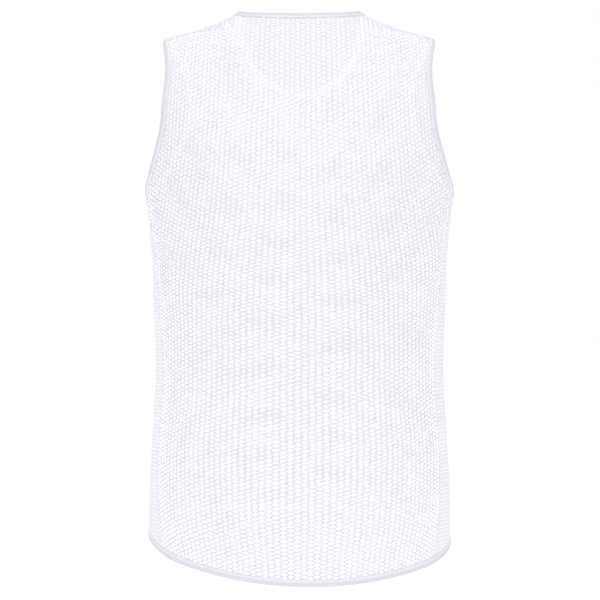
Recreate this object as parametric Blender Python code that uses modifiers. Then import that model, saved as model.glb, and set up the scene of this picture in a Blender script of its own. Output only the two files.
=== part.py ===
# Sleeveless mesh base layer, filled out as it is worn, with nobody in it.
#
# Metres, +Z up. The front faces -Y and +X is the wearer's left. The origin lies
# midway between the middles of the two shoulder seams, where the garment is held.
# Every piece is a thin wall on one body surface. A place on that surface is a
# station, which runs down the sections, and a turn, the angle round from centre back.

import math

import bmesh
import bpy
import numpy as np

GARMENT = "cycling_base_layer"

# walls and seams
PANEL_WALL = 0.0012
SIDE_WALL = 0.0014
BINDING_WALL = 0.0022
BINDING_CROWN = 0.0004
SEAM_GAP = 0.0003

# widths of the bindings, across the strip
NECK_BINDING = 0.0065
ARMHOLE_BINDING = 0.0075
HEM_BINDING = 0.0090

# cut of the neck, armholes and hem
NECK_HALF_WIDTH = 0.0750
NECK_DROP = {"back": 0.0125, "front": 0.0850}
SHOULDER_HALF_WIDTH = 0.1460
ARMHOLE_BOTTOM = -0.2020
ARMHOLE_DEPTH = {"back": 0.0755, "front": 0.0800}
ARMHOLE_ROUND_TOP = 2.4
ARMHOLE_ROUND_BOTTOM = 1.7
HEM_SIDE = -0.5780
HEM_SWING = 0.0300
HEM_DIP = 0.0100
HEM_TILT = 0.0050

# divisions of the panels and bindings
COLUMNS = 22
SHOULDER_ROWS = 5
ARMHOLE_ROWS = 15
SEAM_ROWS = 18
SIDE_COLUMNS = 6
BINDING_ROWS = 2
WIDEST_REACH = math.radians(60)
TOP_FADE = 6
SPINE_POWER = 1.25

# Sections of the filled body, from the neck edge down to below the hem.
SECTION_COLUMNS = ("height", "half_width", "back_depth", "front_depth")
SECTIONS = (
    (0.0165, 0.0680, 0.0600, 0.0580),
    (0.0050, 0.0900, 0.0720, 0.0690),
    (-0.0065, 0.1195, 0.0830, 0.0790),
    (-0.0170, 0.1540, 0.0925, 0.0870),
    (-0.0370, 0.1730, 0.1020, 0.0950),
    (-0.0650, 0.1840, 0.1120, 0.1040),
    (-0.1000, 0.1885, 0.1200, 0.1110),
    (-0.1500, 0.1820, 0.1255, 0.1165),
    (-0.2050, 0.1742, 0.1265, 0.1180),
    (-0.2600, 0.1688, 0.1240, 0.1160),
    (-0.3300, 0.1662, 0.1185, 0.1110),
    (-0.3950, 0.1642, 0.1130, 0.1070),
    (-0.4600, 0.1678, 0.1145, 0.1070),
    (-0.5300, 0.1714, 0.1205, 0.1100),
    (-0.5900, 0.1724, 0.1250, 0.1120),
    (-0.6500, 0.1715, 0.1260, 0.1120),
)

# How far the side panel reaches each way round from the side, in degrees.
SEAM_COLUMNS = ("height", "half_span")
SEAMS = (
    (-0.1700, 6.0),
    (-0.2100, 9.5),
    (-0.2700, 15.5),
    (-0.3450, 20.2),
    (-0.4200, 22.2),
    (-0.4900, 20.8),
    (-0.5400, 23.2),
    (-0.5750, 26.6),
    (-0.6100, 28.0),
    (-0.6500, 29.0),
)

# Largest soft folds: where they lie, how wide and long, how far they swell out
# of the body surface, and how far they lean round for each metre up.
FOLD_COLUMNS = ("turn", "height", "width", "length", "swell", "lean")
FOLDS = (
    (33, -0.555, 0.020, 0.055, -0.0034, 0.10),
    (54, -0.575, 0.026, 0.050, 0.0030, 0.15),
    (10, -0.545, 0.030, 0.045, 0.0022, -0.10),
    (-36, -0.315, 0.045, 0.075, -0.0030, 0.20),
    (-30, -0.540, 0.034, 0.045, -0.0024, -0.20),
    (-56, -0.585, 0.026, 0.045, 0.0026, -0.15),
    (24, -0.380, 0.040, 0.050, -0.0020, -0.15),
    (60, -0.265, 0.022, 0.060, 0.0026, 0.35),
    (-62, -0.270, 0.022, 0.060, 0.0024, -0.35),
    (0, -0.110, 0.030, 0.080, -0.0022, 0.00),
    (126, -0.250, 0.024, 0.070, -0.0028, -0.40),
    (-128, -0.255, 0.024, 0.065, -0.0026, 0.40),
    (152, -0.400, 0.034, 0.060, 0.0026, 0.20),
    (-156, -0.430, 0.030, 0.070, -0.0026, -0.15),
    (170, -0.535, 0.026, 0.045, -0.0024, 0.10),
    (-140, -0.530, 0.024, 0.045, 0.0026, 0.15),
)
FOLD_RADIUS = 0.145

# colour, roughness of each cloth
NET_WHITE = ((0.90, 0.90, 0.92), 0.75)
KNIT_WHITE = ((0.87, 0.87, 0.90), 0.75)
BINDING_WHITE = ((0.80, 0.80, 0.86), 0.65)

QUARTER = math.pi / 2
FULL_TURN = math.pi * 2

# points read along a curve or a table to measure it, and the step of a slope
TABLE_SAMPLES = 80
CURVE_SAMPLES = 600
SLOPE_STEP = 0.001


class Table:
    """Rows of named columns, read between the rows along a smooth curve."""

    def __init__(self, columns, rows):
        self.values = {name: np.array([row[i] for row in rows], float) for i, name in enumerate(columns)}
        self.last = len(rows) - 1
        self.stations = np.linspace(0, self.last, TABLE_SAMPLES * self.last + 1)

    def at(self, name, station):
        values = self.values[name]
        station = np.asarray(station, float)
        row = np.clip(np.floor(station).astype(int), 0, self.last - 1)
        share = station - row
        before = values[np.maximum(row - 1, 0)]
        start = values[row]
        stop = values[row + 1]
        after = values[np.minimum(row + 2, self.last)]
        slope = (stop - before) / 2
        bend = before - 2.5 * start + 2 * stop - after / 2
        twist = (3 * (start - stop) + after - before) / 2
        return start + share * (slope + share * (bend + share * twist))

    def station(self, name, value):
        values = self.at(name, self.stations)
        order = np.argsort(values)
        return np.interp(value, values[order], self.stations[order])


shape = Table(SECTION_COLUMNS, SECTIONS)
seams = Table(SEAM_COLUMNS, SEAMS)


def body(station, turn):
    """A point of the bare figure, whose sections are half an ellipse behind and half one in front."""
    station, turn = np.broadcast_arrays(station, turn)
    behind = np.cos(turn) > 0
    depth = np.where(behind, shape.at("back_depth", station), shape.at("front_depth", station))
    x = shape.at("half_width", station) * np.sin(turn)
    y = depth * np.cos(turn)
    return np.stack([x, y, shape.at("height", station)], axis=-1)


def outward(station, turn):
    """The direction that faces away from the bare figure."""
    across = body(station, turn + SLOPE_STEP) - body(station, turn - SLOPE_STEP)
    down = body(station + SLOPE_STEP, turn) - body(station - SLOPE_STEP, turn)
    normal = np.cross(across, down)
    return normal / np.linalg.norm(normal, axis=-1, keepdims=True)


def fold_rise(turn, height):
    """How far the folds lift the cloth off the bare figure."""
    rise = np.zeros(np.shape(height))
    for row in FOLDS:
        fold = dict(zip(FOLD_COLUMNS, row))
        away = turn - math.radians(fold["turn"])
        away = (away + math.pi) % FULL_TURN - math.pi
        above = height - fold["height"]
        aside = away * FOLD_RADIUS - fold["lean"] * above
        rise = rise + fold["swell"] * np.exp(-((aside / fold["width"]) ** 2) - (above / fold["length"]) ** 2)
    return rise


def cloth(station, turn):
    """The middle of the cloth."""
    point = body(station, turn)
    rise = fold_rise(turn, point[..., 2])
    return point + rise[..., None] * outward(station, turn)


# Curves on the body. Each gives stations, and angles from the centre line of the back or front.


def face_depth(face, station):
    """How far the figure reaches back or forward."""
    return shape.at(face + "_depth", station)


def shoulder(face):
    """Along the shoulder seam, by station."""
    return lambda station: (station, np.full(np.shape(station), QUARTER))


def armhole(face):
    """Down the armhole's edge, by the angle round its oval from the top."""
    top = float(shape.at("height", shape.station("half_width", SHOULDER_HALF_WIDTH)))
    middle = (top + ARMHOLE_BOTTOM) / 2
    half = (top - ARMHOLE_BOTTOM) / 2

    def curve(angle):
        up = np.cos(angle)
        power = np.where(up > 0, ARMHOLE_ROUND_TOP, ARMHOLE_ROUND_BOTTOM)
        reach = ARMHOLE_DEPTH[face] * (1 - np.abs(up) ** power) ** (1 / power)
        station = shape.station("height", middle + half * up)
        return station, np.arccos(np.clip(reach / face_depth(face, station), 0, 1))

    return curve


def side_seam(face):
    """Down the side seam, by height."""

    def curve(height):
        span = seams.at("half_span", seams.station("height", height))
        return shape.station("height", height), QUARTER - np.radians(span)

    return curve


def neckline(face):
    """From the shoulder to the centre line, by the angle left to the centre."""
    side = shape.station("half_width", NECK_HALF_WIDTH)
    side_height = float(shape.at("height", side))

    def curve(angle):
        station = shape.station("height", side_height - NECK_DROP[face] * np.cos(angle))
        share = NECK_HALF_WIDTH * np.sin(angle) / shape.at("half_width", station)
        return station, np.arcsin(np.clip(share, 0, 1))

    return curve


def centre_line(station):
    """Down the middle of the back or the front, by station."""
    return station, np.zeros(np.shape(station))


def hem_height(turn):
    """The hem swings down behind and up in front, and is a little higher on the wearer's left."""
    dip = HEM_SWING * np.cos(turn) + HEM_DIP * np.cos(turn) ** 2
    return HEM_SIDE - dip + HEM_TILT * np.sin(turn)


def place(face, hand, angle):
    """The turn of an angle from the back's or the front's centre line. hand is 1 on the wearer's left."""
    if face == "back":
        return hand * angle
    return math.pi - hand * angle


def along(curve, start, stop, count, face, hand, power=1):
    """Stations and turns of points spaced along a curve, with both its ends, evenly at a power of 1."""
    fine = np.linspace(start, stop, CURVE_SAMPLES)
    station, angle = curve(fine)
    points = cloth(station, place(face, hand, angle))
    steps = np.linalg.norm(np.diff(points, axis=0), axis=1)
    length = np.concatenate(([0], np.cumsum(steps)))
    reached = np.linspace(0, 1, count + 1) ** power * length[-1]
    station, angle = curve(np.interp(reached, length, fine))
    return np.stack([station, place(face, hand, angle)], axis=-1)


def armhole_end(face):
    """The angle round the armhole at which the side seam leaves it."""
    angles = np.linspace(QUARTER * 1.3, math.pi, CURVE_SAMPLES)
    station, edge = armhole(face)(angles)
    seam = side_seam(face)(shape.at("height", station))[1]
    return float(np.interp(0, edge - seam, angles))


def seam_foot(face, hand):
    """The height at which the side seam reaches the hem."""
    height = HEM_SIDE
    for _ in range(12):
        angle = side_seam(face)(np.array(height))[1]
        height = float(hem_height(place(face, hand, angle)))
    return height


def long_edge(face, hand):
    """A panel's edge from the neck over the shoulder, round the armhole and down the side seam."""
    start = float(shape.station("half_width", NECK_HALF_WIDTH))
    tip = float(shape.station("half_width", SHOULDER_HALF_WIDTH))
    end = armhole_end(face)
    top = float(shape.at("height", armhole(face)(np.array(end))[0]))
    over = along(shoulder(face), start, tip, SHOULDER_ROWS, face, hand)
    round_arm = along(armhole(face), 0, end, ARMHOLE_ROWS, face, hand)
    down = along(side_seam(face), top, seam_foot(face, hand), SEAM_ROWS, face, hand)
    return over, round_arm, down


def eased(edge, face, hand):
    """A long edge's points, moved half a seam gap in from the shoulder seam and the side seam."""
    over, round_arm, down = edge
    half_gap = SEAM_GAP / 2
    inward = -hand if face == "back" else hand
    points = []
    for part in (over, down):
        moved = part.copy()
        moved[:, 1] += inward * half_gap / face_depth(face, part[:, 0])
        points.append(moved)
    return np.concatenate([points[0], round_arm[1:-1], points[1]])


def half_neck(face, hand):
    """The neckline from the shoulder to the centre line."""
    return along(neckline(face), QUARTER, 0, COLUMNS // 2, face, hand)


def hem_line(first_turn, last_turn, count):
    turns = np.linspace(first_turn, last_turn, count + 1)
    return np.stack([shape.station("height", hem_height(turns)), turns], axis=-1)


def shares(count, rows):
    """Across from -1 to 1 in a row of points, and down from 0 to 1 in the rows."""
    return np.linspace(-1, 1, count)[None], np.linspace(0, 1, rows)[:, None]


def ridge_height(sideways):
    """The height of the shoulder line above a place on the panel."""
    return shape.at("height", shape.station("half_width", np.abs(sideways)))


def spread(face, first, last, top, bottom, spine):
    """Fills the back or the front between its edges, as seen from behind: sideways and by height."""
    side, down = shares(len(top), len(first))
    from_edge = 1 - np.abs(side)
    station = np.where(side < 0, first[:, :1], last[:, :1])
    turn = np.where(side < 0, first[:, 1:], last[:, 1:])
    edge = body(station, turn)
    centre = body(spine[:, :1], spine[:, 1:])
    reach = np.minimum(np.abs(turn - spine[:, 1:]), WIDEST_REACH)
    sideways = edge[..., 0] * np.sin(np.abs(side) * reach) / np.sin(reach)
    level = edge[..., 2] + (centre[..., 2] - edge[..., 2]) * np.sin(from_edge * QUARTER) ** 2
    # near the shoulder a row falls from the ridge as the square of its way in from the edge
    edge_fall = np.sqrt(np.maximum(ridge_height(edge[..., 0]) - edge[..., 2], 0))
    centre_fall = np.sqrt(ridge_height(0) - centre[..., 2])
    fallen = ridge_height(sideways) - (edge_fall + (centre_fall - edge_fall) * from_edge) ** 2
    rows_down = np.arange(len(first))[:, None]
    past = np.clip((rows_down - SHOULDER_ROWS) / ARMHOLE_ROWS, 0, 1)
    past = past * past * (3 - 2 * past)
    flat = np.stack([sideways, fallen + past * (level - fallen)], axis=-1)
    top_place = body(top[:, 0], top[:, 1])[None, :, ::2]
    bottom_place = body(bottom[:, 0], bottom[:, 1])[None, :, ::2]
    flat = flat + ((1 - down) ** TOP_FADE)[..., None] * (top_place - flat[:1])
    flat = flat + (down**2)[..., None] * (bottom_place - flat[-1:])
    station = shape.station("height", flat[..., 1])
    angle = np.arcsin(np.clip(flat[..., 0] / shape.at("half_width", station), -1, 1))
    grid = np.stack([station, place(face, 1, angle)], axis=-1)
    grid[0] = top
    grid[-1] = bottom
    grid[:, 0] = first
    grid[:, -1] = last
    return grid


def spread_side(first, last, top, bottom):
    """Fills a side panel between its seams, its top and its bottom."""
    side, down = shares(len(top), len(first))
    share = (side[..., None] + 1) / 2
    down = down[..., None]
    flat = (1 - share) * first[:, None] + share * last[:, None]
    return flat + (1 - down) ** TOP_FADE * (top[None] - flat[:1]) + down**2 * (bottom[None] - flat[-1:])


def face_hands(face):
    """The hands of a panel's first and last columns, as the turn grows."""
    return (-1, 1) if face == "back" else (1, -1)


def body_panel(face):
    """Stations and turns of the back's or the front's rows."""
    hands = face_hands(face)
    first, last = (eased(long_edge(face, hand), face, hand) for hand in hands)
    near = half_neck(face, hands[0])
    far = half_neck(face, hands[1])[::-1]
    top = np.concatenate([near, far[1:]])
    top[0] = first[0]
    top[-1] = last[0]
    bottom = hem_line(first[-1, 1], last[-1, 1], COLUMNS)
    middle = COLUMNS // 2
    ends = (top[middle, 0], bottom[middle, 0])
    spine = along(centre_line, *ends, len(first) - 1, face, 1, SPINE_POWER)
    return spread(face, first, last, top, bottom, spine)


def side_edges(hand):
    """The side panel's two seams, in the order in which the turn grows, each with its face."""
    faces = ("back", "front") if hand == 1 else ("front", "back")
    edges = []
    for face in faces:
        seam = long_edge(face, hand)[2].copy()
        if face == "back" and hand == -1:
            seam[:, 1] += FULL_TURN
        edges.append((face, seam))
    return edges


def armhole_foot(hand):
    """The foot of the armhole between the side panel's two seams."""
    (first_face, first), (last_face, last) = side_edges(hand)
    points = []
    for turn in np.linspace(first[0, 1], last[0, 1], SIDE_COLUMNS + 1)[1:-1]:
        face = first_face if abs(turn - first[0, 1]) < abs(turn - last[0, 1]) else last_face
        reach = abs(math.cos(turn)) * float(face_depth(face, shape.station("height", ARMHOLE_BOTTOM)))
        top = float(shape.at("height", shape.station("half_width", SHOULDER_HALF_WIDTH)))
        share = min(1.0, reach / ARMHOLE_DEPTH[face])
        up = (1 - share**ARMHOLE_ROUND_BOTTOM) ** (1 / ARMHOLE_ROUND_BOTTOM)
        height = (top + ARMHOLE_BOTTOM) / 2 - up * (top - ARMHOLE_BOTTOM) / 2
        points.append((float(shape.station("height", height)), turn))
    return np.array([tuple(first[0])] + points + [tuple(last[0])])


def side_panel(hand):
    (first_face, first), (last_face, last) = side_edges(hand)
    half_gap = SEAM_GAP / 2
    first = first.copy()
    last = last.copy()
    first[:, 1] += half_gap / face_depth(first_face, first[:, 0])
    last[:, 1] -= half_gap / face_depth(last_face, last[:, 0])
    top = armhole_foot(hand)
    top[0] = first[0]
    top[-1] = last[0]
    bottom = hem_line(first[-1, 1], last[-1, 1], SIDE_COLUMNS)
    return spread_side(first, last, top, bottom)


def neck_ring():
    """Round the neck from the left shoulder over the front."""
    parts = [
        half_neck("front", 1),
        half_neck("front", -1)[::-1],
        half_neck("back", -1),
        half_neck("back", 1)[::-1],
    ]
    return np.concatenate([part[:-1] for part in parts])


def armhole_ring(hand):
    """Round an armhole from the shoulder down the back and up the front."""
    back = long_edge("back", hand)[1]
    front = long_edge("front", hand)[1]
    foot = armhole_foot(hand)
    if hand == -1:
        foot = foot[::-1]
    return np.concatenate([back[:-1], foot[:-1], front[::-1][:-1]])


def hem_ring():
    """Round the hem from the left side's back seam over the front."""
    (_, left_back), (_, left_front) = side_edges(1)
    (_, right_front), (_, right_back) = side_edges(-1)
    parts = [
        hem_line(left_back[-1, 1], left_front[-1, 1], SIDE_COLUMNS),
        hem_line(left_front[-1, 1], right_front[-1, 1], COLUMNS),
        hem_line(right_front[-1, 1], right_back[-1, 1], SIDE_COLUMNS),
        hem_line(right_back[-1, 1], left_back[-1, 1] + FULL_TURN, COLUMNS),
    ]
    return np.concatenate([part[:-1] for part in parts])


def strip(ring, width, side):
    """Rows of points of a binding that carries the surface on past a closed edge. side is 1 or -1."""
    edge = cloth(ring[:, 0], ring[:, 1])
    normal = outward(ring[:, 0], ring[:, 1])
    tangent = np.roll(edge, -1, axis=0) - np.roll(edge, 1, axis=0)
    away = side * np.cross(tangent, normal)
    away = away / np.linalg.norm(away, axis=1, keepdims=True)
    rows = []
    for k in range(BINDING_ROWS + 1):
        share = k / BINDING_ROWS
        crown = BINDING_CROWN * 4 * share * (1 - share)
        rows.append(edge + (SEAM_GAP + width * share) * away + crown * normal)
    return rows


def grid_mesh(name, rows, closed):
    """A sheet of quads through rows of points, joined round where it is closed."""
    mesh = bmesh.new()
    verts = [[mesh.verts.new(point) for point in row] for row in rows]
    across = len(rows[0])
    last = across if closed else across - 1
    for upper, lower in zip(verts, verts[1:]):
        for i in range(last):
            j = (i + 1) % across
            mesh.faces.new((upper[i], upper[j], lower[j], lower[i]))
    mesh.normal_update()
    data = bpy.data.meshes.new(name)
    mesh.to_mesh(data)
    mesh.free()
    data.shade_smooth()
    return data


def fabric(name, finish):
    colour, roughness = finish
    material = bpy.data.materials.new(name)
    material.use_nodes = True
    shader = material.node_tree.nodes["Principled BSDF"]
    shader.inputs["Base Color"].default_value = (*colour, 1)
    shader.inputs["Roughness"].default_value = roughness
    shader.inputs["Metallic"].default_value = 0
    return material


def wall(name, rows, thickness, finish, closed=False):
    """A named piece of cloth: a sheet given its wall on both sides."""
    piece = bpy.data.objects.new(name, grid_mesh(name, rows, closed))
    bpy.data.collections[GARMENT].objects.link(piece)
    piece.data.materials.append(fabric(name, finish))
    solidify = piece.modifiers.new("wall", "SOLIDIFY")
    solidify.thickness = thickness
    solidify.offset = 0
    solidify.use_even_offset = True
    return piece


def panel(name, grid, thickness, finish):
    return wall(name, cloth(grid[..., 0], grid[..., 1]), thickness, finish)


def binding(name, ring, width, side):
    return wall(name, strip(ring, width, side), BINDING_WALL, BINDING_WHITE, closed=True)


def clear_scene():
    for thing in list(bpy.data.objects):
        bpy.data.objects.remove(thing, do_unlink=True)


def build():
    clear_scene()
    garment = bpy.data.collections.new(GARMENT)
    bpy.context.scene.collection.children.link(garment)
    panel("back_panel", body_panel("back"), PANEL_WALL, NET_WHITE)
    panel("front_panel", body_panel("front"), PANEL_WALL, NET_WHITE)
    for hand, side in ((1, "left"), (-1, "right")):
        panel("side_panel_" + side, side_panel(hand), SIDE_WALL, KNIT_WHITE)
        binding("armhole_binding_" + side, armhole_ring(hand), ARMHOLE_BINDING, hand)
    binding("neck_binding", neck_ring(), NECK_BINDING, 1)
    binding("hem_binding", hem_ring(), HEM_BINDING, -1)


build()
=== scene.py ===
# Sleeveless net base layer, filled out as it is worn, seen from behind.
# The net, the close knit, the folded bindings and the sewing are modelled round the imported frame.

import math
import random

import bmesh
import bpy
import numpy as np
from mathutils import Matrix, Vector


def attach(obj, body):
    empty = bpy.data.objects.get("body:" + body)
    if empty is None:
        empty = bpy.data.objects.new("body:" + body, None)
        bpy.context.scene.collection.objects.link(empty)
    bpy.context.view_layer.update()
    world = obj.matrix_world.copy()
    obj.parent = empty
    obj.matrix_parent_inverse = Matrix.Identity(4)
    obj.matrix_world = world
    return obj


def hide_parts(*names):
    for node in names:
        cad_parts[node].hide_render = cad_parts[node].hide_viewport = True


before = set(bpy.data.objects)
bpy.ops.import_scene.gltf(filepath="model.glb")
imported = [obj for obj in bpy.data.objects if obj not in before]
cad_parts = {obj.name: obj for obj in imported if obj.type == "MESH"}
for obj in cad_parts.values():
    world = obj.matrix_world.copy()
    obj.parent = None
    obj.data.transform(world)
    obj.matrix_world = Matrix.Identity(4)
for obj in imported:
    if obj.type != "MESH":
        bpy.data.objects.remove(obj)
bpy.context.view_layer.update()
print("frame loaded:", len(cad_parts), "nodes")

quarter = math.pi / 2
fullTurn = math.pi * 2


# the figure that the cloth lies on: height, then how far it reaches sideways, back and forward
bodyColumns = ("height", "halfWidth", "backDepth", "frontDepth")
bodySections = (
    (0.0165, 0.0680, 0.0600, 0.0580),
    (0.0050, 0.0900, 0.0720, 0.0690),
    (-0.0065, 0.1195, 0.0830, 0.0790),
    (-0.0170, 0.1540, 0.0925, 0.0870),
    (-0.0370, 0.1730, 0.1020, 0.0950),
    (-0.0650, 0.1840, 0.1120, 0.1040),
    (-0.1000, 0.1885, 0.1200, 0.1110),
    (-0.1500, 0.1820, 0.1255, 0.1165),
    (-0.2050, 0.1742, 0.1265, 0.1180),
    (-0.2600, 0.1688, 0.1240, 0.1160),
    (-0.3300, 0.1662, 0.1185, 0.1110),
    (-0.3950, 0.1642, 0.1130, 0.1070),
    (-0.4600, 0.1678, 0.1145, 0.1070),
    (-0.5300, 0.1714, 0.1205, 0.1100),
    (-0.5900, 0.1724, 0.1250, 0.1120),
    (-0.6500, 0.1715, 0.1260, 0.1120),
)

# how far each side panel reaches round from the side, in degrees
seamColumns = ("height", "halfSpan")
seamRows = (
    (-0.1700, 6.0),
    (-0.2100, 9.5),
    (-0.2700, 15.5),
    (-0.3450, 20.2),
    (-0.4200, 22.2),
    (-0.4900, 20.8),
    (-0.5400, 23.2),
    (-0.5750, 26.6),
    (-0.6100, 28.0),
    (-0.6500, 29.0),
)

# soft creases: where, how wide and long, how far out, and how they lean
creaseColumns = ("turn", "height", "width", "length", "swell", "lean")
creaseRows = (
    (33, -0.555, 0.020, 0.055, -0.0034, 0.10),
    (54, -0.575, 0.026, 0.050, 0.0030, 0.15),
    (10, -0.545, 0.030, 0.045, 0.0022, -0.10),
    (-36, -0.315, 0.045, 0.075, -0.0030, 0.20),
    (-30, -0.540, 0.034, 0.045, -0.0024, -0.20),
    (-56, -0.585, 0.026, 0.045, 0.0026, -0.15),
    (24, -0.380, 0.040, 0.050, -0.0020, -0.15),
    (60, -0.265, 0.022, 0.060, 0.0026, 0.35),
    (-62, -0.270, 0.022, 0.060, 0.0024, -0.35),
    (0, -0.110, 0.030, 0.080, -0.0022, 0.00),
    (126, -0.250, 0.024, 0.070, -0.0028, -0.40),
    (-128, -0.255, 0.024, 0.065, -0.0026, 0.40),
    (152, -0.400, 0.034, 0.060, 0.0026, 0.20),
    (-156, -0.430, 0.030, 0.070, -0.0026, -0.15),
    (170, -0.535, 0.026, 0.045, -0.0024, 0.10),
    (-140, -0.530, 0.024, 0.045, 0.0026, 0.15),
    (20, -0.500, 0.010, 0.045, -0.0014, 0.20),
    (-18, -0.470, 0.012, 0.040, 0.0013, -0.25),
    (44, -0.465, 0.011, 0.040, 0.0014, 0.10),
    (-48, -0.440, 0.012, 0.045, -0.0013, 0.30),
    (38, -0.185, 0.012, 0.040, -0.0012, 0.50),
    (-42, -0.195, 0.012, 0.045, -0.0013, -0.50),
    (112, -0.380, 0.011, 0.045, 0.0013, -0.20),
    (-110, -0.350, 0.011, 0.050, -0.0013, 0.25),
    (140, -0.190, 0.012, 0.045, 0.0013, -0.45),
    (-146, -0.215, 0.012, 0.040, -0.0014, 0.45),
    (178, -0.330, 0.014, 0.045, 0.0013, 0.10),
    (162, -0.585, 0.011, 0.030, 0.0014, 0.15),
)
creaseRadius = 0.145

cut = {
    "neckHalfWidth": 0.0750,
    "neckDrop": {"back": 0.0125, "front": 0.0850},
    "shoulderHalfWidth": 0.1460,
    "armholeBottom": -0.2020,
    "armholeDepth": {"back": 0.0755, "front": 0.0800},
    "armholeRoundTop": 2.4,
    "armholeRoundBottom": 1.7,
    "hemSide": -0.5780,
    "hemSwing": 0.0300,
    "hemDip": 0.0100,
    "hemTilt": 0.0050,
    "lowest": -0.6450,
}


class table:  # rows of named columns, read along a smooth curve
    def __init__(self, columns, rows):
        self.values = {name: np.array([row[i] for row in rows]) for i, name in enumerate(columns)}
        self.last = len(rows) - 1
        self.fine = np.linspace(0, self.last, 80 * self.last + 1)

    def at(self, name, station):
        values = self.values[name]
        station = np.asarray(station, float)
        row = np.clip(np.floor(station).astype(int), 0, self.last - 1)
        share = station - row
        before = values[np.maximum(row - 1, 0)]
        start = values[row]
        stop = values[row + 1]
        after = values[np.minimum(row + 2, self.last)]
        slope = (stop - before) / 2
        bend = before - 2.5 * start + 2 * stop - after / 2
        twist = (3 * (start - stop) + after - before) / 2
        return start + share * (slope + share * (bend + share * twist))

    def station(self, name, value):
        values = self.at(name, self.fine)
        order = np.argsort(values)
        return np.interp(value, values[order], self.fine[order])

    def by(self, name, other, value):
        return self.at(name, self.station(other, value))


figure = table(bodyColumns, bodySections)
seams = table(seamColumns, seamRows)


def bodyPoint(station, turn):  # half an ellipse behind and another in front
    station, turn = np.broadcast_arrays(station, turn)
    behind, ahead = figure.at("backDepth", station), figure.at("frontDepth", station)
    depth = np.where(np.cos(turn) > 0, behind, ahead)
    x = figure.at("halfWidth", station) * np.sin(turn)
    return np.stack([x, depth * np.cos(turn), figure.at("height", station)], axis=-1)


def unit(vectors):
    return vectors / np.linalg.norm(vectors, axis=-1, keepdims=True)


def outward(station, turn, step=0.001):
    across = bodyPoint(station, turn + step) - bodyPoint(station, turn - step)
    down = bodyPoint(station + step, turn) - bodyPoint(station - step, turn)
    return unit(np.cross(across, down))


def creaseRise(turn, height):
    rise = np.zeros(np.shape(height))
    for row in creaseRows:
        crease = dict(zip(creaseColumns, row))
        away = (turn - math.radians(crease["turn"]) + math.pi) % fullTurn - math.pi
        above = height - crease["height"]
        aside = away * creaseRadius - crease["lean"] * above
        fade = np.exp(-((aside / crease["width"]) ** 2) - (above / crease["length"]) ** 2)
        rise = rise + crease["swell"] * fade
    return rise


def clothPoint(station, turn, lift=0.0):  # lift is out from the middle of the cloth
    point = bodyPoint(station, turn)
    rise = creaseRise(turn, point[..., 2]) + lift
    return point + rise[..., None] * outward(station, turn)


def faceDepth(face, station):
    return figure.at(face + "Depth", station)


def place(face, hand, angle):  # the turn of an angle from the middle of the back or the front
    return hand * angle if face == "back" else math.pi - hand * angle


def neckCurve(face, angle):
    sideHeight = float(figure.by("height", "halfWidth", cut["neckHalfWidth"]))
    station = figure.station("height", sideHeight - cut["neckDrop"][face] * np.cos(angle))
    sideways = cut["neckHalfWidth"] * np.sin(angle)
    return station, np.arcsin(np.clip(sideways / figure.at("halfWidth", station), -1, 1))


def shoulderCurve(halfWidth):
    station = figure.station("halfWidth", halfWidth)
    return station, np.full(np.shape(station), quarter)


def armholeCurve(face, angle):
    top = float(figure.by("height", "halfWidth", cut["shoulderHalfWidth"]))
    middle = (top + cut["armholeBottom"]) / 2
    half = (top - cut["armholeBottom"]) / 2
    up = np.cos(angle)
    power = np.where(up > 0, cut["armholeRoundTop"], cut["armholeRoundBottom"])
    reach = cut["armholeDepth"][face] * (1 - np.abs(up) ** power) ** (1 / power)
    station = figure.station("height", middle + half * up)
    return station, np.arccos(np.clip(reach / faceDepth(face, station), 0, 1))


def sideCurve(height):
    span = seams.by("halfSpan", "height", height)
    return figure.station("height", height), quarter - np.radians(span)


def hemHeight(turn):
    dip = cut["hemSwing"] * np.cos(turn) + cut["hemDip"] * np.cos(turn) ** 2
    return cut["hemSide"] - dip + cut["hemTilt"] * np.sin(turn)


def armholeEnd(face):  # where the side seam leaves the armhole
    angles = np.linspace(quarter * 1.3, math.pi, 800)
    station, edge = armholeCurve(face, angles)
    seam = sideCurve(figure.at("height", station))[1]
    return float(np.interp(0, edge - seam, angles))


def seamTop(face):
    return float(figure.at("height", armholeCurve(face, np.array(armholeEnd(face)))[0]))


def seamFoot(face, hand):
    height = cut["hemSide"]
    for _ in range(12):
        height = float(hemHeight(place(face, hand, sideCurve(np.array(height))[1])))
    return height


def armholeFoot(turn):  # the height of the armhole's edge on the side panel
    face = np.where(np.cos(turn) > 0, "back", "front")
    top = float(figure.by("height", "halfWidth", cut["shoulderHalfWidth"]))
    station = figure.station("height", cut["armholeBottom"])
    depth = np.where(face == "back", faceDepth("back", station), faceDepth("front", station))
    widest = np.where(face == "back", cut["armholeDepth"]["back"], cut["armholeDepth"]["front"])
    share = np.minimum(1.0, np.abs(np.cos(turn)) * depth / widest)
    power = cut["armholeRoundBottom"]
    up = (1 - share**power) ** (1 / power)
    return (top + cut["armholeBottom"]) / 2 - up * (top - cut["armholeBottom"]) / 2


class wire:  # a socket that takes part in sums
    def __init__(self, finish, socket):
        self.finish = finish
        self.socket = socket

    def sum(self, operation, first, second):
        return self.finish.add("ShaderNodeMath", {"operation": operation}, {0: first, 1: second})

    def __add__(self, other):
        return self.sum("ADD", self, other)

    def __radd__(self, other):
        return self.sum("ADD", other, self)

    def __sub__(self, other):
        return self.sum("SUBTRACT", self, other)

    def __rsub__(self, other):
        return self.sum("SUBTRACT", other, self)

    def __mul__(self, other):
        return self.sum("MULTIPLY", self, other)

    def __rmul__(self, other):
        return self.sum("MULTIPLY", other, self)


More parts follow.
